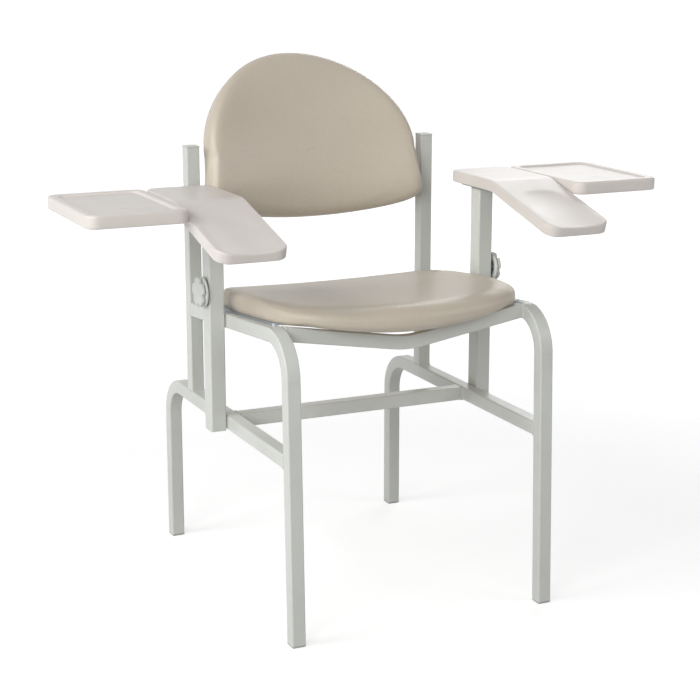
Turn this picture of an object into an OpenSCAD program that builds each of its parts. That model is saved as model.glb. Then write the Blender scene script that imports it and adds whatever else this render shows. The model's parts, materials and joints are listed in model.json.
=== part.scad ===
// Phlebotomy chair: welded square tube frame, vinyl seat and back, and on each side an
// armrest with a tray on a post that slides in a sleeve and is clamped by a scalloped knob.
// Millimetres. The chair faces -Y and stands on Z = 0. Left and right are as seen from
// the front, so right is +X.

/* [Frame] */
// How far each side frame stands out past the seat cushion
frame_over = 14; // [8:1:40]
// Depth on the floor, from front leg to rear leg
frame_d = 560; // [540:10:640]
// Side of the square frame tube
tube = 22; // [20:0.5:25]
// Wall of the frame tube
tube_wall = 1.5; // [1:0.1:2]
// Corner radius of the frame tube
tube_r = 2.5; // [2.2:0.1:4]
// Centreline radius of the tube bends
bend_r = 58; // [50:1:70]
// Lean of the front legs towards the back, in degrees
leg_lean_deg = 1.9; // [0:0.1:4]
// Fall of the seat rails towards the back, in degrees
rail_fall_deg = 4.94; // [2:0.1:7]
// Height of the seat rails' top line at the front plane
rail_h = 475; // [450:5:520]
// Height of the low rails' top face
low_rail_h = 290; // [270:5:320]
// Height of the uprights' tube ends
upright_h = 690; // [670:5:760]
// Rear face of the uprights to rear face of the rear legs
upright_back = 117; // [105:1:140]

/* [Seat] */
// Width of the seat cushion
seat_w = 412; // [390:2:430]
// Front plane of the frame to the cushion's front corners
seat_front = 62; // [50:1:80]
// Length of the cushion from its front corners to its rear edge
seat_len = 338; // [310:2:344]
// How far the front edge bows out in the middle
seat_bow = 42; // [10:1:60]
// Thickness of the seat cushion at its side ridges
seat_pad_h = 30; // [26:1:44]
// Hollow of the cushion's top between the side ridges
seat_hollow = 8; // [0:1:14]
// Drop of the cushion's top at its front edge
seat_fall = 7; // [0:1:12]
// Dip of the seat board in the middle
seat_dip = 15; // [5:1:20]
// Thickness of the seat board
seat_board_t = 10; // [8:1:15]
// Width of the steel seat straps
strap_w = 40; // [32:1:44]
// Thickness of the steel seat straps
strap_t = 3; // [2:0.5:5]
// Depth of the bowed seat bars from front to back
bar_d = 15; // [12:1:20]
// Dip angle of the bowed seat bars, in degrees
bar_dip_deg = 9.2; // [5:0.2:10]
// Centreline radius of the bowed seat bars' middle bend
bar_bend_r = 150; // [100:5:250]

/* [Back] */
// Gap between the back cushion's widest line and each upright
back_side_gap = 13; // [8:0.5:30]
// Height of the back cushion's lowest edge
back_low_h = 564; // [555:1:572]
// Height where the round top of the cushion begins
back_round_h = 674; // [660:1:690]
// Height of the round top above that
back_top = 152; // [135:1:160]
// Rise of the lower edge towards the corners
back_bow = 23; // [0:1:30]
// Thickness of the back cushion in the middle
back_pad_t = 32; // [30:1:46]
// Radius of the back's curve, on the cushion's rear face
back_curve_r = 342; // [330:2:480]
// Height of the centre of that curve
back_curve_h = 563; // [550:1:570]
// How far the cushion's front wraps forward at its sides
back_wrap = 33; // [0:1:36]
// Thickness of the curved back board
back_board_t = 9; // [6:1:12]
// Height of the flat strap that carries the back
back_strap_h = 30; // [25:1:40]
// Thickness of that strap
back_strap_t = 5; // [3:0.5:8]
// Height of the middle of that strap
back_strap_at = 600; // [595:1:615]

/* [Arms] */
// Front plane of the frame to the middle of the arm posts
post_from_front = 271; // [255:1:285]
// Width of the sleeve from side to side
sleeve_w = 25; // [24:0.5:30]
// Depth of the sleeve from front to back
sleeve_d = 30; // [28:0.5:36]
// Wall of the sleeve and of the post
sleeve_wall = 1.5; // [1.2:0.1:2]
// Thickness of the pads between frame and sleeve
spacer_t = 1.5; // [1:0.5:4]
// How far the sleeve ends below the low rail
sleeve_below = 1; // [0:1:20]
// Space between sleeve and post on each side
post_gap = 1; // [1:0.1:1.6]
// Lower end of the post above the lower end of the sleeve
post_above = 53.5; // [10:0.5:60]
// Height of the armrest's flat top at its lowest setting
arm_h = 642; // [630:1:680]
// Thickness of the armrest
arm_t = 18; // [14:1:24]
// Width of the armrest
arm_w = 109; // [90:1:120]
// Length of the armrest
arm_len = 330; // [300:2:360]
// Length of the armrest's flat rear part
arm_flat = 146; // [140:1:160]
// Slope of the armrest's front part, in degrees
arm_slope_deg = 14.5; // [8:0.5:18]
// Middle of the post to the armrest's rear edge
arm_rear = 73; // [65:1:90]
// Inner edge of the armrest to the middle of the post
arm_inner = 24; // [16:1:30]
// Thickness of the arm plate and the tray bracket
plate_t = 3.5; // [3:0.5:5]
// Width of the arm plate and the tray bracket
plate_w = 30; // [26:1:34]
// Length of the arm plate
plate_len = 152; // [140:2:170]

/* [Trays] */
// Width of a tray
tray_w = 152; // [130:1:180]
// Length of a tray
tray_len = 226; // [200:1:240]
// Thickness of a tray
tray_t = 20; // [18:1:24]
// Groove between armrest and tray
tray_gap = 2; // [1.5:0.5:4]
// Width of the tray's rim
tray_rim = 14; // [10:1:20]
// Depth of the tray's recess
tray_deep = 3.5; // [3:0.5:6]

/* [Knobs] */
// Height of the clamping knobs
knob_h = 488; // [470:1:500]
// Diameter of the knob's flange
knob_d = 48; // [44:1:54]
// Thickness of the knob
knob_t = 10; // [10:0.5:16]
// Thickness of the knob's flange
knob_flange_t = 5; // [4:0.5:6]
// Number of scallops round the knob's grip
knob_scallops = 5; // [4:1:7]
// Diameter of the clamping stud
stud_d = 8; // [6:1:8]

/* [Hidden] */

$fn = 48;

// Colours
steel_paint = [0.80, 0.82, 0.79];
vinyl = [0.74, 0.70, 0.64];
plywood = [0.72, 0.58, 0.40];
grey_plastic = [0.55, 0.56, 0.54];
arm_plastic = [0.86, 0.84, 0.82];
bright_steel = [0.75, 0.76, 0.78];

// Cuts run past the faces they open by this much
over = 2;
// Gap at rest between pieces that only just clear each other
seat_gap = 0.3;

// Frame
frame_w = seat_w + 2*frame_over;
front_y = -frame_d/2;
rear_y = frame_d/2;
side_x = frame_w/2 - tube/2;
inner_x = frame_w/2 - tube;
glide_t = 3;
glide_lip = 1;
glide_stem = 12;
plug_slack = 0.6;
cap_t = 3;
cap_lip = 0.4;
cap_stem = 14;
upright_front = rear_y - upright_back - tube;
upright_rear = rear_y - upright_back;
upright_mid = upright_front + tube/2;
// The leg's and the seat rail's centrelines cross at this point in the side plane
leg_dir_deg = 90 - leg_lean_deg;
leg_foot = [front_y + tube/2/cos(leg_lean_deg), 0];
rail_line_h = rail_h - tube/2/cos(rail_fall_deg);
leg_reach = (rail_line_h - tan(rail_fall_deg)*(leg_foot.x - front_y))
    /(cos(leg_lean_deg) + tan(rail_fall_deg)*sin(leg_lean_deg));
corner = leg_foot + leg_reach*[cos(leg_dir_deg), sin(leg_dir_deg)];
turn_deg = leg_dir_deg + rail_fall_deg;
tangent_len = bend_r*tan(turn_deg/2);
front_bend = corner - tangent_len*[cos(leg_dir_deg), sin(leg_dir_deg)]
    + bend_r*[cos(leg_lean_deg), -sin(leg_lean_deg)];
rail_start_y = corner.x + tangent_len*cos(rail_fall_deg);
rail_run = (upright_mid - rail_start_y)/cos(rail_fall_deg);
low_rail_mid = low_rail_h - tube/2;
rear_bend = [rear_y - tube/2 - bend_r, low_rail_mid - bend_r];

// Seat, in the frame that lies on the seat rails' top faces
bar_h = tube;
rear_bar_share = 0.86;
front_bar_at = 78;
rear_bar_at = seat_front + seat_len*rear_bar_share;
bar_run = (inner_x - bar_bend_r*sin(bar_dip_deg))/cos(bar_dip_deg);
bar_drop = bar_bend_r*(1 - cos(bar_dip_deg)) + bar_run*sin(bar_dip_deg);
bar_steps = 6;
corner_steps = 4;
strap_on_rail = 10;
strap_len_share = 0.86;
strap_mid_share = 0.53;
screw_span_share = 0.62;
strap_len = seat_len*strap_len_share;
strap_outer = inner_x + strap_on_rail;
strap_inner = strap_outer - strap_w;
strap_mid_y = seat_front + seat_len*strap_mid_share;
strap_r = 5;
seat_mid_y = seat_front + seat_len/2;
seat_corner_power = 7;
seat_steps = 56;
seat_wrap = 16;
seat_roll = 30;
dip_half = strap_inner - seat_gap;
board_steps = 22;
seat_screw_x = strap_inner + strap_w/4;
seat_screw_span = strap_len*screw_span_share;
// Inset and height of the cushion's side, from the wrapped edge up over the roll
seat_side_shares = [
    [0.20, 0.05], [0.02, 0.22], [0, 0.42], [0.06, 0.64], [0.24, 0.83], [0.54, 0.95], [1, 1]
];
seat_top_shares = [0.74, 0.48, 0.22];

// Back
back_w = 2*inner_x - 2*back_side_gap;
back_steps = 64;
back_power = 2.03;
back_corner_power = 9;
back_flare_share = 0.088;
back_edge = 12;
back_roll = 30;
back_crown = 4;
back_mid_r = back_curve_r + back_pad_t/2;
back_tilt_deg = asin((back_strap_at - back_curve_h)/back_curve_r);
// The flat strap's front face stays just off the curved rear face at the strap's edges
strap_clear = 0.5;
back_strap_r = sqrt(pow(back_curve_r, 2) - pow(back_strap_h/2, 2)) - strap_clear;
back_curve_y = upright_rear + back_strap_h/2*sin(back_tilt_deg) + back_strap_r*cos(back_tilt_deg);
back_half = back_w/2;
back_below = back_round_h - back_low_h;
// Inset and depth of the back cushion's side, from its rear edge to its front roll
back_side_shares = [
    [0.30, 0.01], [0.02, 0.13], [0, 0.42], [0.05, 0.70], [0.22, 0.87], [0.52, 0.96], [1, 1]
];
back_front_shares = [0.74, 0.48, 0.22];
back_ring_shares = [0.36, 0.72];
back_screw_shares = [-0.7, -0.25, 0.25, 0.7];

// Screws and tee nuts of seat and back
screw_d = 6;
screw_slack = 0.3;
screw_head_d = 11;
screw_head_h = 3.3;
hex_af = 4;
hex_deep = 2;
tee_flange_d = 19;
tee_flange_t = 1.5;
tee_barrel_d = 8;
tee_barrel_len = 7;

// Arms
post_y = front_y + post_from_front;
post_x = frame_w/2 + spacer_t + sleeve_w/2;
post_w = sleeve_w - 2*sleeve_wall - 2*post_gap;
post_d = sleeve_d - 2*sleeve_wall - 2*post_gap;
slide_gap = 0.2;
bush_lip = 2;
bush_len = 30;
sleeve_low = low_rail_h - tube - sleeve_below;
plate_low = arm_h - arm_t - plate_t;
sleeve_top = plate_low - seat_gap - bush_lip;
post_len = plate_low - sleeve_low - post_above;
spacer_h = 18;
spacer_d = 24;
sleeve_r = 2.5;
sleeve_in_w = sleeve_w - 2*sleeve_wall;
sleeve_in_d = sleeve_d - 2*sleeve_wall;
sleeve_in_r = sleeve_r - sleeve_wall;
plug_t = 6;
plug_stem = 16;
plate_back = 52;
plate_r = 12;
knee_r = 40;
knee_steps = 6;
arm_side_r = 22;
trough_r = 150;
trough_deep = 4;
trough_end = 26;
// The trough deepens from nothing at the knee to its full depth at the front edge
trough_tilt_deg = -atan(trough_deep/(arm_len - arm_flat));
arm_front_y = post_y + arm_rear - arm_len;
arm_mid_x = post_x - arm_inner + arm_w/2;
arm_screw_front = sleeve_d*3/2;
arm_screw_back = plate_back - plate_w/2;
arm_screw_d = 5;
arm_screw_deep = 11;
arm_head_d = 9.5;
arm_head_h = 2.6;
tray_x = post_x - arm_inner + arm_w + tray_gap + tray_w/2;
tray_mid_y = post_y + arm_rear - tray_len/2;
tray_r = 18;
tray_recess_r = 10;
bracket_y = post_y - plate_w;
bracket_share = 0.78;
bracket_reach = tray_w*bracket_share;
bracket_r = 6;
bracket_slack = 0.5;

// Knobs
boss_d = 16;
boss_len = 8;
knob_off = 3.5;
knob_hollow_d = 24;
knob_skin = 1.2;
stud_slack = 0.05;
sleeve_face = post_x + sleeve_w/2;
knob_back = sleeve_face + knob_off;
knob_hollow = boss_len - knob_off + seat_gap;
grip_inset = 1.2;
scallop_r = 6;
scallop_at = 19.2;
scallop_turn_deg = 66;
stud_tip = post_x + post_w/2 + seat_gap;

// Lays drawings of the side plane, y across and z up, onto the plane of a side frame
module side_plane() {
    rotate([90, 0, 90]) children();
}

// Lays a drawing on the seat rails' top faces
module seat_plane() {
    translate([0, front_y, rail_h]) rotate([-rail_fall_deg, 0, 0]) children();
}

// Rectangle with round corners, middle on the origin
module round_box(w, d, r) {
    square([w - 2*r, d], center = true);
    square([w, d - 2*r], center = true);
    for (i = [-1, 1], j = [-1, 1])
        translate([i*(w/2 - r), j*(d/2 - r)]) circle(r, $fn = 24);
}

// Section of a tube with a round-cornered outside and inside
module tube_section(w, d, r, wall) {
    difference() {
        round_box(w, d, r);
        round_box(w - 2*wall, d - 2*wall, r - wall);
    }
}

module frame_section() {
    tube_section(tube, tube, tube_r, tube_wall);
}

// Straight tube up to the weld below the bend
module right_front_leg() {
    leg_len = leg_reach - tangent_len;
    color(steel_paint) translate([side_x, 0, 0]) difference() {
        translate([0, leg_foot.x, leg_foot.y]) rotate([-leg_lean_deg, 0, 0])
            linear_extrude(leg_len) frame_section();
        translate([-tube, front_y - tube, glide_t - 2*tube]) cube([2*tube, 3*tube, 2*tube]);
    }
}

module left_front_leg() {
    mirror([1, 0, 0]) right_front_leg();
}

// Frame tube bent through an angle that starts on the drawing's x axis, with a straight
// tube that runs back from its start
module bent_tube(turn, length) {
    rotate_extrude(angle = turn, $fn = 96) translate([bend_r, 0]) frame_section();
    translate([bend_r, 0, 0]) rotate([90, 0, 0]) linear_extrude(length) frame_section();
}

module right_seat_rail() {
    color(steel_paint) translate([side_x, 0, 0]) side_plane() difference() {
        translate([front_bend.x, front_bend.y, 0]) rotate([0, 0, 90 - rail_fall_deg])
            bent_tube(turn_deg, rail_run);
        translate([upright_front, low_rail_h, -tube]) cube([3*tube, rail_h, 2*tube]);
    }
}

module left_seat_rail() {
    mirror([1, 0, 0]) right_seat_rail();
}

module right_rear_leg() {
    color(steel_paint) translate([side_x, 0, 0]) side_plane() difference() {
        translate([rear_bend.x, rear_bend.y, 0]) {
            bent_tube(90, rear_bend.y - glide_t);
            translate([0, bend_r, 0]) rotate([0, -90, 0])
                linear_extrude(rear_bend.x - front_y) frame_section();
        }
        translate([leg_foot.x, leg_foot.y, 0]) rotate([0, 0, leg_dir_deg])
            translate([low_rail_h - 3*tube, -tube/2, -tube]) cube([5*tube, 4*tube, 2*tube]);
    }
}

module left_rear_leg() {
    mirror([1, 0, 0]) right_rear_leg();
}

module right_upright() {
    color(steel_paint) translate([side_x, upright_mid, low_rail_h])
        linear_extrude(upright_h - low_rail_h) frame_section();
}

module left_upright() {
    mirror([1, 0, 0]) right_upright();
}

module low_cross_bar() {
    color(steel_paint) translate([-inner_x, post_y, low_rail_mid])
        rotate([0, 90, 0]) linear_extrude(2*inner_x) frame_section();
}

// Stop on the bowed bar's centreline, past a point of its middle bend: across, up, angle
function bar_stop(deg, past) =
    [bar_bend_r*sin(deg) + past*cos(deg), past*sin(deg) - bar_bend_r*cos(deg), deg];

bar_stops = [
    bar_stop(-bar_dip_deg, -bar_run - tube),
    for (i = [0:bar_steps]) bar_stop(bar_dip_deg*(2*i/bar_steps - 1), 0),
    bar_stop(bar_dip_deg, bar_run + tube)
];

// Section with round corners, as a list of points about its middle
function section_points(w, d, r) = [
    for (corner = [[1, 1], [-1, 1], [-1, -1], [1, -1]], i = [0:corner_steps])
        let (start = corner.y > 0 ? 45 - 45*corner.x : 225 + 45*corner.x,
            deg = start + 90*i/corner_steps)
        [corner.x*(w/2 - r) + r*cos(deg), corner.y*(d/2 - r) + r*sin(deg)]
];

// Solid form along the bowed bar's centreline
module bar_form(w, d, r) {
    first = bar_stops[0];
    last = bar_stops[len(bar_stops) - 1];
    ringed(
        [for (stop = bar_stops) [for (point = section_points(w, d, r))
            [stop[0] + point.x*sin(stop[2]), point.y, stop[1] - point.x*cos(stop[2])]]],
        [first[0], 0, first[1]], [last[0], 0, last[1]]);
}

// Bowed bar between the seat rails, its ends flush with their top faces
module seat_bar(at) {
    color(steel_paint) seat_plane() translate([0, at, bar_bend_r - bar_h/2 - bar_drop])
        difference() {
            bar_form(bar_h, bar_d, tube_r);
            bar_form(bar_h - 2*tube_wall, bar_d - 2*tube_wall, tube_r - tube_wall);
            for (side = [0, 1]) mirror([side, 0, 0])
                translate([inner_x, -bar_d, -bar_bend_r - bar_h])
                    cube([2*tube, 2*bar_d, bar_bend_r + 2*bar_h]);
        }
}

module front_seat_bar() {
    seat_bar(front_bar_at);
}

module rear_seat_bar() {
    seat_bar(rear_bar_at);
}

// Places of the seat screws on the right side, in the seat plane
module at_right_seat_screws() {
    for (j = [-1, 1])
        translate([seat_screw_x, strap_mid_y + j*seat_screw_span/2, 0]) children();
}

module at_seat_screws() {
    seat_plane() for (side = [0, 1]) mirror([side, 0, 0]) at_right_seat_screws() children();
}

module right_seat_strap() {
    color(bright_steel) seat_plane() difference() {
        translate([(strap_inner + strap_outer)/2, strap_mid_y, 0]) linear_extrude(strap_t)
            round_box(strap_w, strap_len, strap_r);
        at_right_seat_screws() translate([0, 0, -over])
            cylinder(d = screw_d + 2*screw_slack, h = strap_t + 2*over);
    }
}

module left_seat_strap() {
    mirror([1, 0, 0]) right_seat_strap();
}

// Lays a drawing on the rear face of the back board at the strap, its z pointing forward
module back_plane() {
    translate([0, back_curve_y, back_curve_h]) rotate([90 - back_tilt_deg, 0, 0])
        translate([0, 0, back_strap_r]) children();
}

module at_back_screws() {
    back_plane() for (share = back_screw_shares) translate([share*back_half, 0, 0]) children();
}

module back_strap() {
    color(steel_paint) difference() {
        back_plane() translate([-frame_w/2, -back_strap_h/2, -back_strap_t])
            cube([frame_w, back_strap_h, back_strap_t]);
        at_back_screws() translate([0, 0, -back_strap_t - over])
            cylinder(d = screw_d + 2*screw_slack, h = back_strap_t + 2*over);
    }
}

// Insert for a frame tube's end: a stem in the bore and a flange over the wall
module tube_insert(flange, flange_t, stem) {
    linear_extrude(flange_t) round_box(flange, flange, tube_r);
    bore = tube - 2*tube_wall - plug_slack;
    translate([0, 0, flange_t]) linear_extrude(stem) round_box(bore, bore, tube_r - tube_wall);
}

module foot_glide() {
    sole = tube - 2*glide_lip;
    linear_extrude(glide_lip) round_box(sole, sole, tube_r);
    translate([0, 0, glide_lip]) tube_insert(tube, glide_t - glide_lip, glide_stem);
}

module foot_glides() {
    front_foot_y = leg_foot.x + glide_t*tan(leg_lean_deg);
    color(grey_plastic) for (side = [-1, 1]) {
        translate([side*side_x, front_foot_y, 0]) foot_glide();
        translate([side*side_x, rear_y - tube/2, 0]) foot_glide();
    }
}

module upright_caps() {
    color(steel_paint) for (side = [-1, 1])
        translate([side*side_x, upright_mid, upright_h + cap_t]) mirror([0, 0, 1])
            tube_insert(tube + 2*cap_lip, cap_t, cap_stem);
}

module right_arm_sleeve() {
    color(steel_paint) difference() {
        translate([post_x, post_y, sleeve_low]) linear_extrude(sleeve_top - sleeve_low)
            tube_section(sleeve_w, sleeve_d, sleeve_r, sleeve_wall);
        translate([post_x, post_y, knob_h]) rotate([0, 90, 0])
            cylinder(d = stud_d + 2*screw_slack, h = sleeve_w);
    }
}

module left_arm_sleeve() {
    mirror([1, 0, 0]) right_arm_sleeve();
}

module sleeve_spacers() {
    rail_mid_h = rail_h - post_from_front*tan(rail_fall_deg) - tube/2/cos(rail_fall_deg);
    color(steel_paint) for (side = [0, 1], h = [low_rail_mid, rail_mid_h]) mirror([side, 0, 0])
        translate([frame_w/2, post_y - spacer_d/2, h - spacer_h/2])
            cube([spacer_t, spacer_d, spacer_h]);
}

module right_sleeve_bush() {
    bore_w = post_w + 2*slide_gap;
    bore_d = post_d + 2*slide_gap;
    color(grey_plastic) translate([post_x, post_y, sleeve_top]) difference() {
        union() {
            linear_extrude(bush_lip) round_box(sleeve_w, sleeve_d, sleeve_r);
            translate([0, 0, -bush_len]) linear_extrude(bush_len)
                round_box(sleeve_in_w, sleeve_in_d, sleeve_in_r);
        }
        translate([0, 0, -bush_len - over]) linear_extrude(bush_len + bush_lip + 2*over)
            round_box(bore_w, bore_d, sleeve_in_r);
    }
}

module left_sleeve_bush() {
    mirror([1, 0, 0]) right_sleeve_bush();
}

// Puts a drawing's z axis on the right knob's axis, pointing outwards from x
module on_knob_axis(x) {
    translate([x, post_y, knob_h]) rotate([0, 90, 0]) children();
}

module right_knob_boss() {
    color(bright_steel) on_knob_axis(sleeve_face) difference() {
        cylinder(d = boss_d, h = boss_len);
        translate([0, 0, -over]) cylinder(d = stud_d + 2*stud_slack, h = boss_len + 2*over);
    }
}

module left_knob_boss() {
    mirror([1, 0, 0]) right_knob_boss();
}

// Plan of the seat, drawn in from the cushion's widest line by inset
function seat_ray(c, s, half_w, half_d) =
    1/pow(pow(abs(c)/half_w, seat_corner_power) + pow(abs(s)/half_d, seat_corner_power),
        1/seat_corner_power);

function seat_plan(i, inset) =
    let (deg = 360*i/seat_steps, half_w = seat_w/2 - inset, half_d = seat_len/2 - inset,
        reach = seat_ray(cos(deg), sin(deg), half_w, half_d),
        x = reach*cos(deg), y = reach*sin(deg), front = max(0, -y/half_d))
    [x, seat_mid_y + y - seat_bow*(1 - pow(x/half_w, 2))*pow(front, 2)];

function toward(point, middle, share) = middle + (point - middle)*share;

// Height of the dished board over its flat sides
function dip_at(x) = abs(x) < dip_half ? -seat_dip*(1 - pow(x/dip_half, 2)) : 0;

function roof_at(x, y) =
    let (front = max(0, (seat_mid_y - y)/(seat_mid_y - seat_front + seat_bow)))
    -seat_hollow*(1 - pow(2*x/seat_w, 2)) - seat_fall*pow(front, 2);

function seat_point(plan, share) =
    [plan.x, plan.y, strap_t + seat_pad_h*share + dip_at(plan.x)*(1 - share)
        + roof_at(plan.x, plan.y)*share];

// Skin over rings of equal count, closed on a middle point below and above
module ringed(rings, first, last) {
    count = len(rings[0]);
    points = [first, for (ring = rings, point = ring) point, last];
    top = len(points) - 1;
    polyhedron(points, concat(
        [for (i = [0:count - 1]) [0, 1 + i, 1 + (i + 1)%count]],
        [for (j = [0:len(rings) - 2], i = [0:count - 1]) let (a = 1 + j*count,
            next = (i + 1)%count) [a + i, a + count + i, a + next]],
        [for (j = [0:len(rings) - 2], i = [0:count - 1]) let (a = 1 + j*count,
            next = (i + 1)%count) [a + next, a + count + i, a + count + next]],
        [for (i = [0:count - 1]) [top, top - count + (i + 1)%count, top - count + i]]));
}

// Form of the dished board, with its top lifted, its underside dropped and its plan inset
module board_form(lift, drop, inset) {
    half = seat_w/2;
    xs = [-half, for (i = [0:board_steps]) dip_half*(2*i/board_steps - 1), half];
    tops = [for (x = xs) [x, strap_t + seat_board_t + lift + dip_at(x)]];
    floors = [for (x = xs) [-x, strap_t - drop + dip_at(x)]];
    seat_plane() intersection() {
        translate([0, 2*seat_len, 0]) rotate([90, 0, 0]) linear_extrude(3*seat_len)
            polygon(concat(tops, floors));
        translate([0, 0, -seat_len/2]) linear_extrude(seat_len)
            polygon([for (i = [0:seat_steps - 1]) seat_plan(i, inset)]);
    }
}

module seat_cushion() {
    turns = [0:seat_steps - 1];
    middle = [0, seat_mid_y];
    color(vinyl) difference() {
        seat_plane() ringed(
            [
                [for (i = turns) seat_point(seat_plan(i, 2*seat_wrap), 0)],
                for (side = seat_side_shares)
                    [for (i = turns) seat_point(seat_plan(i, side[0]*seat_roll), side[1])],
                for (share = seat_top_shares)
                    [for (i = turns) seat_point(toward(seat_plan(i, seat_roll), middle, share), 1)]
            ],
            seat_point(middle, 0), seat_point(middle, 1));
        board_form(seat_gap, seat_dip + over, seat_wrap);
    }
}

module seat_board() {
    color(plywood) difference() {
        board_form(0, 0, seat_wrap + seat_gap);
        at_seat_screws() tee_nut_hole(strap_t, seat_board_t);
    }
}

// Hole for a tee nut in a board of thickness t that lies at height z, its flange on top
module tee_nut_hole(z, t) {
    translate([0, 0, z - over]) cylinder(d = tee_barrel_d, h = t + 2*over);
    translate([0, 0, z + t - tee_flange_t]) cylinder(d = tee_flange_d, h = t);
}

module tee_nut(z, t) {
    translate([0, 0, z + t - tee_flange_t]) difference() {
        union() {
            cylinder(d = tee_flange_d, h = tee_flange_t);
            translate([0, 0, -tee_barrel_len]) cylinder(d = tee_barrel_d, h = tee_barrel_len);
        }
        translate([0, 0, -tee_barrel_len - over])
            cylinder(d = screw_d, h = tee_barrel_len + tee_flange_t + 2*over);
    }
}

// Button head screw: its head's underside at z = 0, its shank up to length
module button_screw(head_d, head_h, shank_d, length) {
    difference() {
        union() {
            translate([0, 0, -head_h]) cylinder(d = head_d, h = head_h);
            cylinder(d = shank_d, h = length);
        }
        translate([0, 0, -head_h - over]) cylinder(d = hex_af/cos(30), h = hex_deep + over, $fn = 6);
    }
}

module seat_screws() {
    color(bright_steel) at_seat_screws()
        button_screw(screw_head_d, screw_head_h, screw_d, strap_t + seat_board_t - seat_gap);
}

module seat_tee_nuts() {
    color(bright_steel) at_seat_screws() tee_nut(strap_t, seat_board_t);
}

// Outline of the back, seen from the front, drawn in by inset: x and height
function back_plan(i, inset) =
    let (deg = 360*i/back_steps, up = sin(deg) >= 0, power = up ? back_power : back_corner_power,
        half_w = back_half - inset, half_h = (up ? back_top : back_below) - inset,
        reach = 1/pow(pow(abs(cos(deg))/half_w, power) + pow(abs(sin(deg))/half_h, power), 1/power),
        x = reach*cos(deg), z = reach*sin(deg), low = max(0, -z/half_h))
    [x*(1 + back_flare_share*low*back_below/back_half), back_round_h + z
        + back_bow*pow(x/half_w, 2)*pow(low, 2)];

// Point of the outline bent onto the back's curve, at a depth in front of the rear face
function back_point(plan, depth, wrap_share) =
    let (radius = back_curve_r + depth, rise = (plan.y - back_curve_h)*radius/back_mid_r)
    [plan.x, back_curve_y - sqrt(pow(radius, 2) - pow(rise, 2))
        - back_wrap*wrap_share*pow(plan.x/back_half, 2), back_curve_h + rise];

// Form of the bent board between two depths in front of its rear face, its outline inset
module back_board_form(from, to, inset) {
    turns = [0:back_steps - 1];
    middle = [0, back_round_h];
    shares = concat(back_ring_shares, [1]);
    last = len(shares) - 1;
    ringed(
        [
            for (j = [0:last]) [for (i = turns)
                back_point(toward(back_plan(i, inset), middle, shares[j]), from, 0)],
            for (j = [last:-1:0]) [for (i = turns)
                back_point(toward(back_plan(i, inset), middle, shares[j]), to, 0)]
        ],
        back_point(middle, from, 0), back_point(middle, to, 0));
}

module back_cushion() {
    turns = [0:back_steps - 1];
    middle = [0, back_round_h];
    color(vinyl) difference() {
        ringed(
            [
                for (share = back_ring_shares) [for (i = turns)
                    back_point(toward(back_plan(i, back_edge), middle, share), 0, 0)],
                for (side = back_side_shares) [for (i = turns) back_point(
                    back_plan(i, side[0]*back_roll), side[1]*back_pad_t, sqrt(side[1]))],
                for (share = back_front_shares) [for (i = turns) back_point(
                    toward(back_plan(i, back_roll), middle, share),
                    back_pad_t + back_crown*(1 - pow(share, 2)), 1)]
            ],
            back_point(middle, 0, 0), back_point(middle, back_pad_t + back_crown, 1));
        back_board_form(-over, back_board_t + seat_gap, back_edge);
    }
}

module back_board() {
    color(plywood) difference() {
        back_board_form(0, back_board_t, back_edge + seat_gap);
        at_back_screws() tee_nut_hole(0, back_board_t);
    }
}

module back_screws() {
    color(bright_steel) at_back_screws() translate([0, 0, -back_strap_t])
        button_screw(screw_head_d, screw_head_h, screw_d, back_strap_t + back_board_t - seat_gap);
}

module back_tee_nuts() {
    color(bright_steel) at_back_screws() tee_nut(0, back_board_t);
}

module right_arm_post() {
    color(steel_paint) translate([post_x, post_y, plate_low - post_len]) linear_extrude(post_len)
        tube_section(post_w, post_d, sleeve_r, sleeve_wall);
}

module left_arm_post() {
    mirror([1, 0, 0]) right_arm_post();
}

module right_post_plug() {
    bore_w = post_w - 2*sleeve_wall - 2*slide_gap;
    bore_d = post_d - 2*sleeve_wall - 2*slide_gap;
    color(grey_plastic) translate([post_x, post_y, plate_low - post_len]) {
        translate([0, 0, -plug_t]) linear_extrude(plug_t)
            round_box(sleeve_in_w - 2*slide_gap, sleeve_in_d - 2*slide_gap, sleeve_in_r);
        linear_extrude(plug_stem) round_box(bore_w, bore_d, sleeve_in_r);
    }
}

module left_post_plug() {
    mirror([1, 0, 0]) right_post_plug();
}

// Places of the two armrest screws, and of the two tray screws, under the plate's face
module at_arm_screws() {
    for (y = [-arm_screw_front, arm_screw_back])
        translate([post_x, post_y + y, plate_low]) children();
}

module at_tray_screws() {
    for (i = [-1, 1])
        translate([tray_x - tray_w/2 + bracket_reach/2 + i*bracket_reach/4, bracket_y, plate_low])
            children();
}

module right_tray_bracket() {
    from = post_x + plate_w/2;
    to = tray_x - tray_w/2 + bracket_reach;
    color(bright_steel) difference() {
        translate([from, bracket_y, plate_low]) linear_extrude(plate_t) {
            translate([0, -plate_w/2]) square([to - from - bracket_r, plate_w]);
            translate([(to - from)/2, 0]) round_box(to - from, plate_w, bracket_r);
        }
        at_tray_screws() translate([0, 0, -over])
            cylinder(d = arm_screw_d + 2*screw_slack, h = plate_t + 2*over);
    }
}

module left_tray_bracket() {
    mirror([1, 0, 0]) right_tray_bracket();
}

// Line across the armrest's side view at a depth below its top, from the rear edge over
// the knee to the front edge, with the flat top at height 0
function arm_line(depth) =
    let (knee = arm_len - arm_flat, knee_end = knee + knee_r*tan(arm_slope_deg/2))
    [
        [arm_len, -depth],
        for (i = [0:knee_steps]) let (deg = arm_slope_deg*i/knee_steps)
            [knee_end - (knee_r - depth)*sin(deg), (knee_r - depth)*cos(deg) - knee_r],
        [depth*sin(arm_slope_deg), -knee*tan(arm_slope_deg) - depth*cos(arm_slope_deg)]
    ];

function reversed(points) = [for (i = [len(points) - 1:-1:0]) points[i]];

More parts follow.
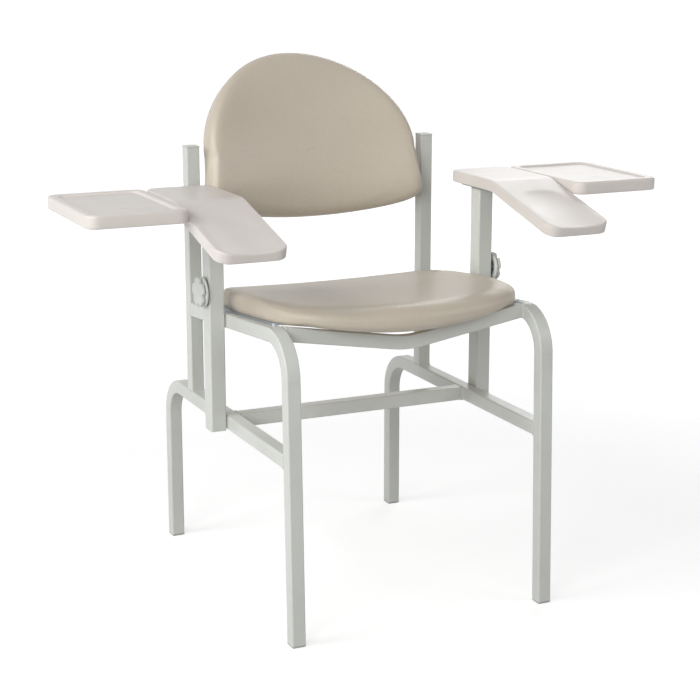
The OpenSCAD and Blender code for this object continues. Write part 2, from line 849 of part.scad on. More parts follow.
// Slab of constant thickness along the armrest, between two depths below its top
module arm_slab(from_depth, to_depth) {
    translate([arm_mid_x - arm_w, arm_front_y, arm_h]) side_plane() linear_extrude(2*arm_w)
        polygon(concat(reversed(arm_line(from_depth)), arm_line(to_depth)));
}

module right_arm_plate() {
    color(bright_steel) difference() {
        intersection() {
            arm_slab(arm_t, arm_t + plate_t);
            translate([post_x, post_y + plate_back - plate_len/2, plate_low - arm_len])
                linear_extrude(2*arm_len) round_box(plate_w, plate_len, plate_r);
        }
        at_arm_screws() translate([0, 0, -over])
            cylinder(d = arm_screw_d + 2*screw_slack, h = plate_t + 2*over);
    }
}

module left_arm_plate() {
    mirror([1, 0, 0]) right_arm_plate();
}

module right_armrest() {
    color(arm_plastic) difference() {
        intersection() {
            arm_slab(0, arm_t);
            translate([arm_mid_x, arm_front_y + arm_len/2, arm_h - arm_len]) linear_extrude(2*arm_len)
                round_box(arm_w, arm_len, arm_side_r);
        }
        translate([arm_mid_x, arm_front_y + arm_len - arm_flat + trough_end, arm_h])
            rotate([90 + arm_slope_deg + trough_tilt_deg, 0, 0]) translate([0, trough_r, -over])
                cylinder(r = trough_r, h = arm_len, $fn = 192);
        at_arm_screws() cylinder(d = arm_screw_d, h = plate_t + arm_screw_deep + seat_gap);
    }
}

module left_armrest() {
    mirror([1, 0, 0]) right_armrest();
}

module right_tray() {
    pocket_len = bracket_reach + bracket_slack + over;
    color(arm_plastic) difference() {
        translate([tray_x, tray_mid_y, arm_h - tray_t]) difference() {
            linear_extrude(tray_t) round_box(tray_w, tray_len, tray_r);
            translate([0, 0, tray_t - tray_deep]) linear_extrude(tray_deep + over)
                round_box(tray_w - 2*tray_rim, tray_len - 2*tray_rim, tray_recess_r);
        }
        translate([tray_x - tray_w/2 - over, bracket_y - plate_w/2 - bracket_slack, plate_low])
            cube([pocket_len, plate_w + 2*bracket_slack, plate_t]);
        at_tray_screws() cylinder(d = arm_screw_d, h = plate_t + arm_screw_deep + seat_gap);
    }
}

module left_tray() {
    mirror([1, 0, 0]) right_tray();
}

module arm_screw() {
    button_screw(arm_head_d, arm_head_h, arm_screw_d, plate_t + arm_screw_deep);
}

module right_arm_screws() {
    color(bright_steel) at_arm_screws() arm_screw();
}

module left_arm_screws() {
    mirror([1, 0, 0]) right_arm_screws();
}

module right_tray_screws() {
    color(bright_steel) at_tray_screws() arm_screw();
}

module left_tray_screws() {
    mirror([1, 0, 0]) right_tray_screws();
}

// Plan of the knob's grip, with its scallops
module knob_grip_plan() {
    difference() {
        circle(d = knob_d - 2*grip_inset);
        for (i = [0:knob_scallops - 1]) rotate(360*i/knob_scallops + scallop_turn_deg)
            translate([scallop_at, 0]) circle(scallop_r);
    }
}

module right_knob() {
    color(steel_paint) on_knob_axis(knob_back) difference() {
        union() {
            cylinder(d = knob_d, h = knob_flange_t);
            linear_extrude(knob_t) knob_grip_plan();
        }
        translate([0, 0, -over]) cylinder(d = knob_hollow_d, h = knob_hollow + over);
        cylinder(d = stud_d, h = knob_t - knob_skin);
    }
}

module left_knob() {
    mirror([1, 0, 0]) right_knob();
}

module right_knob_stud() {
    color(bright_steel) on_knob_axis(stud_tip)
        cylinder(d = stud_d, h = knob_back + knob_t - knob_skin - stud_tip);
}

module left_knob_stud() {
    mirror([1, 0, 0]) right_knob_stud();
}

left_front_leg();
right_front_leg();
left_seat_rail();
right_seat_rail();
left_rear_leg();
right_rear_leg();
left_upright();
right_upright();
low_cross_bar();
front_seat_bar();
rear_seat_bar();
left_seat_strap();
right_seat_strap();
back_strap();
foot_glides();
upright_caps();
left_arm_sleeve();
right_arm_sleeve();
sleeve_spacers();
left_sleeve_bush();
right_sleeve_bush();
left_knob_boss();
right_knob_boss();
seat_board();
seat_cushion();
seat_screws();
seat_tee_nuts();
back_board();
back_cushion();
back_screws();
back_tee_nuts();
left_arm_post();
right_arm_post();
left_post_plug();
right_post_plug();
left_arm_plate();
right_arm_plate();
left_tray_bracket();
right_tray_bracket();
left_armrest();
right_armrest();
left_tray();
right_tray();
left_arm_screws();
right_arm_screws();
left_tray_screws();
right_tray_screws();
left_knob();
right_knob();
left_knob_stud();
right_knob_stud();
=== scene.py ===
import json
import math

import bpy
import numpy as np
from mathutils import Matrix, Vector


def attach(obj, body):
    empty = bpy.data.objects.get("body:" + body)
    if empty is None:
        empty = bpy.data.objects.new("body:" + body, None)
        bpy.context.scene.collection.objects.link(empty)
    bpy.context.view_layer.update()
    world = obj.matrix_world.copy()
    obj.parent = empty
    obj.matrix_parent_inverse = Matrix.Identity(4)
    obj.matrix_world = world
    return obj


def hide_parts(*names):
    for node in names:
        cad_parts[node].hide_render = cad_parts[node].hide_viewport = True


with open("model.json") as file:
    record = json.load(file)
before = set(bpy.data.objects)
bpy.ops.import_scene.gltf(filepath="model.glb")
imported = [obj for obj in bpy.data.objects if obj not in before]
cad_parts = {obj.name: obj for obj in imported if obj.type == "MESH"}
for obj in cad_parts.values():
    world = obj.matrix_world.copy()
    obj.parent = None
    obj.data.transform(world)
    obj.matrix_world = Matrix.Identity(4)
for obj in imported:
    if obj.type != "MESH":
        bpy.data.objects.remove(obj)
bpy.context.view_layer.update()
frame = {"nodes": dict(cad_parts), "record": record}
NODES = frame["nodes"]

MM = 0.001

# Sizes in millimetres and angles in radians. Most of them are the part's own.
FRONT_Y = -280.0
RAIL_H = 475.0
RAIL_FALL = math.radians(4.94)
SEAT = dict(w=412.0, front=62.0, length=338.0, bow=42.0, pad=32.0, hollow=13.0, hollow_power=4.2,
            front_hollow=0.35, fall=7.0, droop=5.0, dip=15.0, dip_half=167.7, strap=3.0, board=10.3,
            wrap=16.0, side_roll=15.0, front_roll=52.0, rear_roll=24.0, power=7.0, rear_power=6.0,
            taper=0.10)
BACK = dict(w=370.0, low=564.0, round_h=674.0, top=152.0, bow=23.0, pad=32.0, curve_r=342.0,
            curve_h=563.0, wrap=33.0, board=9.3, power=2.03, corner=9.0, flare=0.088,
            edge=12.0, roll=30.0, crown=4.0, strap_h=30.0, strap_at=600.0, strap_clear=0.5,
            upright_rear=163.0)
ARM = dict(post_x=234.0, post_y=-9.0, inner=24.0, w=109.0, length=330.0, flat=146.0, top=642.0,
           thick=18.0, slope=math.radians(14.5), rear=73.0, corner=22.0, knee_r=55.0,
           edge=2.8, low_edge=2.2, scoop_ends=9.0)
TROUGH = dict(start=138.0, even=66.0, deep=4.2, r=225.0, soft=0.35)
TRAY = dict(x=397.0, y=-49.0, w=152.0, length=226.0, thick=20.0, top=642.0, rim=14.0,
            deep=3.5, corner=18.0, recess_corner=10.0, edge=3.6, low_edge=2.4, flat_rim=4.0,
            fall_start=2.2, fall=5.2)
FRAME = dict(tube=22.0, tube_r=2.5, side=209.0, low_rail=290.0, leg_rear=-248.7, upright=152.0,
             bar_d=15.0, front_bar=78.0, rear_bar=352.7, post_w=20.0, post_d=25.0, plate_low=620.5)
KNOB = dict(x=250.0, y=-9.0, z=488.0, thick=11.0, flange=3.8, r=24.0, star_r=23.0, notch=4.4,
            notch_at=22.4, notches=5, turn=math.radians(48), hollow=15.0, groove_r=16.5,
            groove=1.7, hub=4.8, edge=2.2, dish_r=13.0, dish=0.5)


# Meshes

def new_object(name, verts, faces):
    """Smooth shaded object from millimetre points and faces, linked to the scene."""
    mesh = bpy.data.meshes.new(name)
    mesh.from_pydata([(x * MM, y * MM, z * MM) for x, y, z in verts], [], faces)
    mesh.validate()
    mesh.update()
    mesh.polygons.foreach_set("use_smooth", [True] * len(mesh.polygons))
    obj = bpy.data.objects.new(name, mesh)
    bpy.context.scene.collection.objects.link(obj)
    return obj


def skin(rings, start=None, end=None):
    """Quads over rings of equal count, with a fan to a start point and to an end point."""
    count = len(rings[0])
    verts = [tuple(p) for ring in rings for p in ring]
    faces = []
    for j in range(len(rings) - 1):
        for i in range(count):
            k = (i + 1) % count
            faces.append((j * count + i, j * count + k, (j + 1) * count + k, (j + 1) * count + i))
    if start is not None:
        verts.append(tuple(start))
        hub = len(verts) - 1
        faces += [(hub, (i + 1) % count, i) for i in range(count)]
    if end is not None:
        verts.append(tuple(end))
        hub = len(verts) - 1
        last = (len(rings) - 1) * count
        faces += [(hub, last + i, last + (i + 1) % count) for i in range(count)]
    return verts, faces


def mirror_x(verts, faces):
    """The same mesh on the other side of the chair, its faces still pointing outwards."""
    return [(-x, y, z) for x, y, z in verts], [tuple(reversed(f)) for f in faces]


def smooth_step(low, high, value):
    share = np.clip((value - low) / (high - low), 0.0, 1.0)
    return share * share * (3 - 2 * share)


def side_profile(shares, steps):
    """Smooth curve through a list of inset and height shares."""
    pts = np.array(shares, float)
    gaps = np.hypot(*np.diff(pts, axis=0).T)
    at = np.concatenate([[0], np.cumsum(gaps)])
    wanted = np.linspace(0, at[-1], steps)
    slopes = np.gradient(pts, at, axis=0)
    out = []
    for t in wanted:
        k = min(np.searchsorted(at, t, side="right") - 1, len(at) - 2)
        h = at[k + 1] - at[k]
        s = (t - at[k]) / h
        out.append((2 * s**3 - 3 * s**2 + 1) * pts[k] + (s**3 - 2 * s**2 + s) * h * slopes[k]
                   + (3 * s**2 - 2 * s**3) * pts[k + 1] + (s**3 - s**2) * h * slopes[k + 1])
    return out


# Cushions

CUSHION_TURNS = 300
LEAST_SHARE = 0.001
POCKET_STEPS = (0.4, 0.8, 1.0)
SIDE_STEPS = 30
TOP_STEPS = 40

# Where the roll of the seat's edge grows from the side's width to the front's and to the rear's,
# as the sine of the angle about the middle
FRONT_TURN = (0.25, 0.95)
REAR_TURN = (0.5, 0.95)

# Lips round the boards: millimetres out from the pocket, then the share of the seat pad's height
# or the depth in front of the back board's rear face
SEAT_LIP = ((0.0, 0.15), (1.0, -0.03), (5.0, -0.03))
BACK_LIP = ((0.0, 1.5), (0.8, 0.0))

# Sides from the lower edge to the top: share of the roll's inset, share of the pad's height
SEAT_SIDE = [(0.20, -0.06), (0.04, 0.08), (0, 0.30), (0, 0.50), (0.06, 0.71), (0.24, 0.88),
             (0.54, 0.97), (1, 1)]
BACK_SIDE = [(0.30, 0.01), (0.02, 0.13), (0, 0.42), (0.05, 0.70), (0.22, 0.87), (0.52, 0.96),
             (1, 1)]

# Cover: how far inside the pad's outline it starts, and its cloth simulation
COVER = dict(inside=1.6, pressure=3.0, cap=2.0, frames=10, quality=4, mass=0.3, stretch=20,
             shear=8, bend=0.6)

# Gather near the seat's rear corners, in metres. It is left out where the cover's normal points
# up by more than flat, and full where it points up by steep less.
CREASE = dict(from_rear=0.085, width=0.0105, deep=0.0075, begins=0.150, full=0.185, least=0.01,
              flat=0.9, steep=0.5)


def rounded_reach(turns, half_a, half_b, power):
    """Distance from the middle to a rounded rectangle, at angles about the middle."""
    across, along = np.abs(np.cos(turns)) / half_a, np.abs(np.sin(turns)) / half_b
    return 1 / (across**power + along**power)**(1 / power)


def seat_plan(turns, inset):
    """Outline of the seat in the seat plane, drawn in by inset."""
    s = SEAT
    half_w, half_d = s["w"] / 2 - inset, s["length"] / 2 - inset
    power = np.where(np.sin(turns) > 0, s["rear_power"], s["power"])
    reach = rounded_reach(turns, half_w, half_d, power)
    x, y = reach * np.cos(turns), reach * np.sin(turns)
    front = np.maximum(0, -y / half_d)
    narrow = 1 - s["taper"] * np.maximum(0, y / half_d)**2
    mid = s["front"] + s["length"] / 2
    return np.stack([x * narrow, mid + y - s["bow"] * (1 - (x / half_w)**2) * front**2], 1)


def seat_point(plan, share):
    """Points over the plan at a share of the cushion's height, in the row frame."""
    s = SEAT
    x, y = plan[:, 0], plan[:, 1]
    mid = s["front"] + s["length"] / 2
    front = np.maximum(0, (mid - y) / (mid - s["front"] + s["bow"]))
    across = np.minimum(np.abs(2 * x / s["w"]), 1)
    hollow = s["hollow"] * (1 - across**s["hollow_power"]) * (1 - s["front_hollow"] * front**3)
    roof = -hollow - s["fall"] * front**2
    sag = s["droop"] * front**2
    height = s["pad"] * share + (seat_dip(x) - sag) * (1 - share) + roof * share
    return in_row_frame(x, y, s["strap"] + height)


def seat_dip(x):
    """Height of the dished board over its flat sides."""
    s = SEAT
    return np.where(np.abs(x) < s["dip_half"], -s["dip"] * (1 - (x / s["dip_half"])**2), 0.0)


def in_row_frame(x, y, z):
    """Points of the seat plane, which falls to the rear, in the row frame."""
    cos, sin = math.cos(RAIL_FALL), math.sin(RAIL_FALL)
    return np.stack([x, FRONT_Y + y * cos + z * sin, RAIL_H - y * sin + z * cos], 1)


def seat_mesh(shrink):
    """Rings of the seat cushion: pocket for the board, edge, side with a ridge, hollow top."""
    s = SEAT
    turns = np.linspace(0, 2 * math.pi, CUSHION_TURNS, endpoint=False)
    middle = np.array([0, s["front"] + s["length"] / 2])
    facing = np.sin(turns)
    roll = s["side_roll"] + (s["front_roll"] - s["side_roll"]) * smooth_step(*FRONT_TURN, -facing) \
        + (s["rear_roll"] - s["side_roll"]) * smooth_step(*REAR_TURN, facing)
    rings = []
    for step in POCKET_STEPS:
        plan = middle + (seat_plan(turns, s["wrap"]) - middle) * step
        rings.append(in_row_frame(plan[:, 0], plan[:, 1],
                                  s["strap"] + s["board"] + seat_dip(plan[:, 0])))
    start = in_row_frame(np.zeros(1), middle[1:], s["strap"] + s["board"] + seat_dip(np.zeros(1)))[0]
    for out, share in SEAT_LIP:
        rings.append(seat_point(seat_plan(turns, s["wrap"] - out), share))
    held = len(rings) * len(turns)
    for inset, share in side_profile(SEAT_SIDE, SIDE_STEPS):
        rings.append(seat_point(seat_plan(turns, inset * roll + shrink), share))
    edge = seat_plan(turns, roll + shrink)
    for step in np.linspace(1, 0, TOP_STEPS)[1:-1]:
        rings.append(seat_point(middle + (edge - middle) * step, 1.0))
    top = seat_point(middle[None], 1.0)[0]
    return skin(rings, start, top), held


def back_plan(turns, inset):
    """Outline of the back seen from the front, drawn in by inset."""
    b = BACK
    below = b["round_h"] - b["low"]
    up = np.sin(turns) >= 0
    power = np.where(up, b["power"], b["corner"])
    half_w = b["w"] / 2 - inset
    half_h = np.where(up, b["top"], below) - inset
    reach = rounded_reach(turns, half_w, half_h, power)
    x, z = reach * np.cos(turns), reach * np.sin(turns)
    low = np.maximum(0, -z / half_h)
    return np.stack([x * (1 + b["flare"] * low * below / (b["w"] / 2)),
                     b["round_h"] + z + b["bow"] * (x / half_w)**2 * low**2], 1)


def back_point(plan, depth, wrap_share):
    """Points of the outline bent onto the back's curve, depth in front of its rear face."""
    b = BACK
    tilt = math.asin((b["strap_at"] - b["curve_h"]) / b["curve_r"])
    strap_r = math.sqrt(b["curve_r"]**2 - (b["strap_h"] / 2)**2) - b["strap_clear"]
    curve_y = b["upright_rear"] + b["strap_h"] / 2 * math.sin(tilt) + strap_r * math.cos(tilt)
    radius = b["curve_r"] + depth
    rise = (plan[:, 1] - b["curve_h"]) * radius / (b["curve_r"] + b["pad"] / 2)
    x = plan[:, 0]
    y = curve_y - np.sqrt(radius**2 - rise**2) - b["wrap"] * wrap_share * (x / (b["w"] / 2))**2
    return np.stack([x, y, b["curve_h"] + rise], 1)


def back_mesh(shrink):
    """Rings of the back cushion, from its rear edge over the side to the middle of the front."""
    b = BACK
    turns = np.linspace(0, 2 * math.pi, CUSHION_TURNS, endpoint=False)
    middle = np.array([0, b["round_h"]])
    rings = []
    for step in POCKET_STEPS:
        plan = middle + (back_plan(turns, b["edge"]) - middle) * step
        rings.append(back_point(plan, b["board"], 0.0))
    start = back_point(middle[None], b["board"], 0.0)[0]
    for out, depth in BACK_LIP:
        rings.append(back_point(back_plan(turns, b["edge"] - out), depth, 0.0))
    held = len(rings) * len(turns)
    for inset, share in side_profile(BACK_SIDE, SIDE_STEPS):
        share = max(share, LEAST_SHARE)
        rings.append(back_point(back_plan(turns, inset * b["roll"] + shrink),
                                share * b["pad"] - shrink * share, math.sqrt(share)))
    edge = back_plan(turns, b["roll"] + shrink)
    for step in np.linspace(1, 0, TOP_STEPS)[1:-1]:
        depth = b["pad"] - shrink + b["crown"] * (1 - step**2)
        rings.append(back_point(middle + (edge - middle) * step, depth, 1.0))
    top = back_point(middle[None], b["pad"] - shrink + b["crown"], 1.0)[0]
    return skin(rings, start, top), held


def puff(obj, held):
    """Cloth simulation of the cover over the foam; no point moves further than its cap."""
    c = COVER
    scene = bpy.context.scene
    mesh = obj.data
    count = len(mesh.vertices)
    start = np.zeros(count * 3)
    mesh.vertices.foreach_get("co", start)
    group = obj.vertex_groups.new(name="held")
    group.add(list(range(held)), 1.0, "REPLACE")
    cloth = obj.modifiers.new("cover", "CLOTH")
    cloth.settings.quality = c["quality"]
    cloth.settings.mass = c["mass"]
    cloth.settings.tension_stiffness = c["stretch"]
    cloth.settings.compression_stiffness = c["stretch"]
    cloth.settings.shear_stiffness = c["shear"]
    cloth.settings.bending_stiffness = c["bend"]
    cloth.settings.use_pressure = True
    cloth.settings.uniform_pressure_force = c["pressure"]
    cloth.settings.vertex_group_mass = "held"
    cloth.settings.effector_weights.gravity = 0
    cloth.collision_settings.use_collision = False
    cloth.point_cache.frame_start = 1
    cloth.point_cache.frame_end = c["frames"]
    for number in range(1, c["frames"] + 1):
        scene.frame_set(number)
    seen = obj.evaluated_get(bpy.context.evaluated_depsgraph_get()).data
    end = np.zeros(count * 3)
    seen.vertices.foreach_get("co", end)
    obj.modifiers.remove(cloth)
    obj.vertex_groups.remove(group)
    scene.frame_set(1)
    move = (end - start).reshape(-1, 3)
    far = np.linalg.norm(move, axis=1, keepdims=True)
    limit = c["cap"] * MM
    move *= np.where(far > 1e-9, limit * np.tanh(far / limit) / np.maximum(far, 1e-9), 0)
    mesh.vertices.foreach_set("co", (start.reshape(-1, 3) + move).ravel())
    mesh.update()


def seat_creases(obj):
    """Gathers where the cover is pulled round the rear corners, fading out over the edge."""
    mesh = obj.data
    mesh.update()
    c = CREASE
    rear = (FRONT_Y + SEAT["front"] + SEAT["length"]) * MM
    for vert in mesh.vertices:
        side = 1 if vert.co.x > 0 else -1
        out = smooth_step(c["begins"], c["full"], abs(vert.co.x))
        fold = math.exp(-((vert.co.y - (rear - c["from_rear"])) / c["width"])**2)
        steep = smooth_step(0.0, c["steep"], c["flat"] - vert.normal.z)
        if out * fold > c["least"]:
            vert.co.x -= side * c["deep"] * fold * out * steep
    mesh.update()


def make_cushions(vinyl):
    (verts, faces), held = seat_mesh(COVER["inside"])
    seat = new_object("seat_pad", verts, faces)
    puff(seat, held)
    seat_creases(seat)
    (verts, faces), held = back_mesh(COVER["inside"])
    back = new_object("back_pad", verts, faces)
    puff(back, held)
    for obj, node in ((seat, "seat_cushion"), (back, "back_cushion")):
        obj.data.materials.append(vinyl)
        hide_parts(node)
        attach(obj, "base")


# Armrests and trays

LONG_STEPS, SHORT_STEPS, CORNER_STEPS = 44, 16, 9
FILLET_STEPS, LOW_FILLET_STEPS = 7, 5

# Insets and depths of the rings between the rounded edges
ARM_RINGS = dict(under=(52, 40, 28, 16, 8, 4), side=(13, 10.5, 8, 6),
                 top=(4, 5.5, 7.5, 10, 13, 16, 20, 24, 28, 32, 36, 40, 44, 48, 51, 53, 54.2))
TRAY_RINGS = dict(under=(74, 50, 25, 8, 3), side=(12, 8), floor=(22, 40, 60, 74), fall=9)
LEAST_CORNER = 1.5


def rounded_ring(half_w, half_d, r):
    """Points round a rectangle with round corners, the same count for every size."""
    r = max(min(r, half_w, half_d), 0.01)
    out = []
    corners = [(half_w - r, half_d - r, 0), (-half_w + r, half_d - r, 90),
               (-half_w + r, -half_d + r, 180), (half_w - r, -half_d + r, 270)]
    for k, (cx, cy, start) in enumerate(corners):
        for i in range(CORNER_STEPS):
            a = math.radians(start + 90 * i / (CORNER_STEPS - 1))
            out.append((cx + r * math.cos(a), cy + r * math.sin(a)))
        nx, ny, nstart = corners[(k + 1) % 4]
        a = math.radians(nstart)
        first, last = out[-1], (nx + r * math.cos(a), ny + r * math.sin(a))
        steps = SHORT_STEPS if k % 2 == 0 else LONG_STEPS
        for i in range(1, steps):
            t = i / steps
            out.append((first[0] + (last[0] - first[0]) * t, first[1] + (last[1] - first[1]) * t))
    return np.array(out)


def fillet(r, steps):
    """Inset and depth shares of a quarter round from the side up onto the face."""
    return [(r * (1 - math.cos(a)), r * (1 - math.sin(a)))
            for a in np.linspace(0, math.pi / 2, steps)]


def arm_map(plan, depth):
    """Bends points across and along the armrest onto its sloping line, at a depth below it."""
    a = ARM
    slope, r = a["slope"], a["knee_r"]
    rise_len = (a["length"] - a["flat"]) / math.cos(slope)
    tangent = r * math.tan(slope / 2)
    x = plan[:, 0] + a["post_x"] - a["inner"] + a["w"] / 2
    s = plan[:, 1]
    knee = rise_len - tangent
    arc = r * slope
    front_y = a["post_y"] + a["rear"] - a["length"]
    knee_y = front_y + a["length"] - a["flat"]
    turn = np.clip((s - knee) / r, 0, slope)
    angle = slope - turn
    y0 = knee_y - tangent * math.cos(slope)
    z0 = -tangent * math.sin(slope)
    on_slope = np.minimum(s - knee, 0)
    on_flat = np.maximum(s - knee - arc, 0)
    y = y0 + on_slope * math.cos(slope) + r * (math.sin(slope) - np.sin(angle)) + on_flat
    z = z0 + on_slope * math.sin(slope) + r * (np.cos(angle) - math.cos(slope))
    return np.stack([x, y + depth * np.sin(angle), a["top"] + z - depth * np.cos(angle)], 1)


def scoop(plan):
    """Depth of the forearm trough, which starts in a round end on the slope."""
    t = TROUGH
    past = np.clip((plan[:, 1] - t["even"]) / (t["start"] - t["even"]), 0, 1)
    depth = t["deep"] * np.sqrt(1 - past**2) - plan[:, 0]**2 / (2 * t["r"])
    return t["soft"] * np.log1p(np.exp(np.clip(depth / t["soft"], -30, 30)))


def arm_mesh():
    """Moulded armrest: rounded edges, a knee and a shallow trough that runs out at the front."""
    a = ARM
    slope = a["slope"]
    run = (a["length"] - a["flat"]) / math.cos(slope) + a["flat"] \
        - (2 * a["knee_r"] * math.tan(slope / 2) - a["knee_r"] * slope)
    half_w, half_d = a["w"] / 2, run / 2
    rings = []

    def ring(inset, depth):
        flat = rounded_ring(half_w - inset, half_d - inset, max(a["corner"] - inset, LEAST_CORNER))
        plan = flat + np.array([0, half_d])
        top = 1 - min(depth / a["scoop_ends"], 1)
        return arm_map(plan, depth + scoop(plan) * top)

    for inset in ARM_RINGS["under"]:
        rings.append(ring(inset, a["thick"]))
    for inset, rest in reversed(fillet(a["low_edge"], LOW_FILLET_STEPS)):
        rings.append(ring(inset, a["thick"] - rest))
    for depth in ARM_RINGS["side"]:
        rings.append(ring(0, depth))
    for inset, rest in fillet(a["edge"], FILLET_STEPS):
        rings.append(ring(inset, rest))
    for inset in ARM_RINGS["top"]:
        rings.append(ring(inset, 0))
    verts, faces = skin(rings)
    close_strip(faces, len(rings[0]), 0, True)
    close_strip(faces, len(rings[0]), len(rings) - 1, False)
    return verts, faces


def close_strip(faces, count, ring, flip):
    """Closes a narrow ring with quads from its one long side to the other."""
    first = ring * count
    top = CORNER_STEPS + (SHORT_STEPS - 1) // 2
    for k in range(count // 2):
        corners = []
        for i in (top + k, top + k + 1, top - k - 1, top - k):
            if first + i % count not in corners:
                corners.append(first + i % count)
        faces.append(tuple(reversed(corners)) if flip else tuple(corners))


def tray_mesh():
    """Moulded tray: rounded edges, a raised rim and a flat recess."""
    t = TRAY
    half_w, half_d = t["w"] / 2, t["length"] / 2
    rings = []

    def ring(inset, z, corner=t["corner"]):
        flat = rounded_ring(half_w - inset, half_d - inset, max(corner - inset, LEAST_CORNER))
        return np.column_stack([flat[:, 0] + t["x"], flat[:, 1] + t["y"],
                                np.full(len(flat), t["top"] - z)])

    for inset in TRAY_RINGS["under"]:
        rings.append(ring(inset, t["thick"]))
    for inset, rest in reversed(fillet(t["low_edge"], LOW_FILLET_STEPS)):
        rings.append(ring(inset, t["thick"] - rest))
    for z in TRAY_RINGS["side"]:
        rings.append(ring(0, z))
    for inset, rest in fillet(t["edge"], FILLET_STEPS):
        rings.append(ring(inset, rest))
    rings.append(ring(t["rim"] - t["flat_rim"], 0))
    recess = t["rim"] + t["recess_corner"]
    for k in np.linspace(0, 1, TRAY_RINGS["fall"]):
        inset = t["rim"] - t["fall_start"] + t["fall"] * k
        rings.append(ring(inset, t["deep"] * (1 - math.cos(math.pi * k)) / 2, recess))
    for inset in TRAY_RINGS["floor"]:
        rings.append(ring(inset, t["deep"], recess))
    verts, faces = skin(rings)
    close_strip(faces, len(rings[0]), 0, True)
    close_strip(faces, len(rings[0]), len(rings) - 1, False)
    return verts, faces


def make_arms(plastic):
    for kind, maker in (("armrest", arm_mesh), ("tray", tray_mesh)):
        verts, faces = maker()
        for side in ("right", "left"):
            data = (verts, faces) if side == "right" else mirror_x(verts, faces)
            obj = new_object(f"{side}_{kind}_moulding", *data)
            obj.data.materials.append(plastic)
            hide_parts(f"{side}_{kind}")
            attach(obj, f"{side}_arm")


# Knobs

KNOB_TURNS = 360
KNOB_SOFTEN = 4


def star_radius(angle):
    """Distance from the knob's axis to its scalloped outline at an angle."""
    k = KNOB
    step = 2 * math.pi / k["notches"]
    off = (angle - k["turn"] + step / 2) % step - step / 2
    best = k["star_r"]
    under = k["notch"]**2 - (k["notch_at"] * math.sin(off))**2
    if under > 0:
        best = min(best, k["notch_at"] * math.cos(off) - math.sqrt(under))
    return best


def knob_mesh():
    """Knob with a round flange, a scalloped grip in front of it and a hollow back."""
    k = KNOB
    turns = np.linspace(0, 2 * math.pi, KNOB_TURNS, endpoint=False)
    star = np.array([star_radius(t) for t in turns])
    star = sum(np.roll(star, i) for i in range(-KNOB_SOFTEN, KNOB_SOFTEN + 1)) / (2 * KNOB_SOFTEN + 1)

    def place(radius, depth):
        r = np.broadcast_to(radius, turns.shape)
        return np.stack([np.full(len(turns), k["x"] + depth), k["y"] + r * np.cos(turns),
                         k["z"] + r * np.sin(turns)], 1)

    # Profile from the hub in the hollow back to the face: radius, depth in front of the rear
    hub, hollow, r, flange, face = k["hub"], k["hollow"], k["r"], k["flange"], k["thick"]
    grip, dish = flange + k["groove"], face - k["dish"]
    hub_and_hollow = [(5.0, hub), (9.0, hub), (9.6, hub - 0.1), (10.0, hub - 0.4), (10.2, hub),
                      (11.0, hub + 0.4), (hollow - 2.0, hub + 0.4), (hollow - 0.8, hub),
                      (hollow - 0.4, hub - 0.8), (hollow, 1.2), (hollow + 0.3, 0.4), (hollow + 1.0, 0.0)]
    flange_disc = [(r - 1.4, 0.0), (r - 0.5, 0.3), (r, 1.0), (r, flange - 1.4),
                   (r - 0.5, flange - 0.5), (r - 1.2, flange - 0.1)]
    groove = [(k["groove_r"], flange), (k["groove_r"], grip)]
    grip_side = [(star - 0.9, grip), (star - 0.2, grip + 0.3), (star, grip + 1.0)]
    grip_edge = [(star - inset, face - rest - 0.15) for inset, rest in fillet(k["edge"], FILLET_STEPS)]
    grip_face = [(star - 3.4, face - 0.05), (k["dish_r"], face), (k["dish_r"] - 0.6, dish + 0.1),
                 (11.0, dish), (8.0, dish), (4.0, dish)]
    profile = hub_and_hollow + flange_disc + groove + grip_side + grip_edge + grip_face
    rings = [place(radius, depth) for radius, depth in profile]
    return skin(rings, (k["x"] + hub, k["y"], k["z"]), (k["x"] + dish, k["y"], k["z"]))


def make_knobs(plastic):
    verts, faces = knob_mesh()
    for side in ("right", "left"):
        data = (verts, faces) if side == "right" else mirror_x(verts, faces)
        obj = new_object(f"{side}_star_knob", *data)
        obj.data.materials.append(plastic)
        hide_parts(f"{side}_knob")
        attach(obj, f"{side}_clamp")


# Welds

BEAD_R = 1.3
BEAD_STEPS = 8
RIPPLE = 0.10
RIPPLE_TURN = 1.9


def bead(loop, middle, along, across):
    """Weld seam: a thin round bead along a closed loop in the plane of two directions."""
    middle, along, across = (np.array(v, float) for v in (middle, along, across))
    normal = np.cross(along, across)
    ahead = np.roll(loop, -1, 0) - np.roll(loop, 1, 0)
    ahead /= np.linalg.norm(ahead, axis=1, keepdims=True)
    out = np.column_stack([ahead[:, 1], -ahead[:, 0]])
    places = middle + loop[:, :1] * along + loop[:, 1:] * across
    outward = out[:, :1] * along + out[:, 1:] * across
    ripple = 1 + RIPPLE * np.sin(np.arange(len(loop)) * RIPPLE_TURN)
    rings = []
    for turn in np.linspace(0, 2 * math.pi, BEAD_STEPS, endpoint=False):
        rings.append(places + (BEAD_R * ripple)[:, None]
                     * (math.cos(turn) * outward + math.sin(turn) * normal))
    rings.append(rings[0])
    return skin(rings)


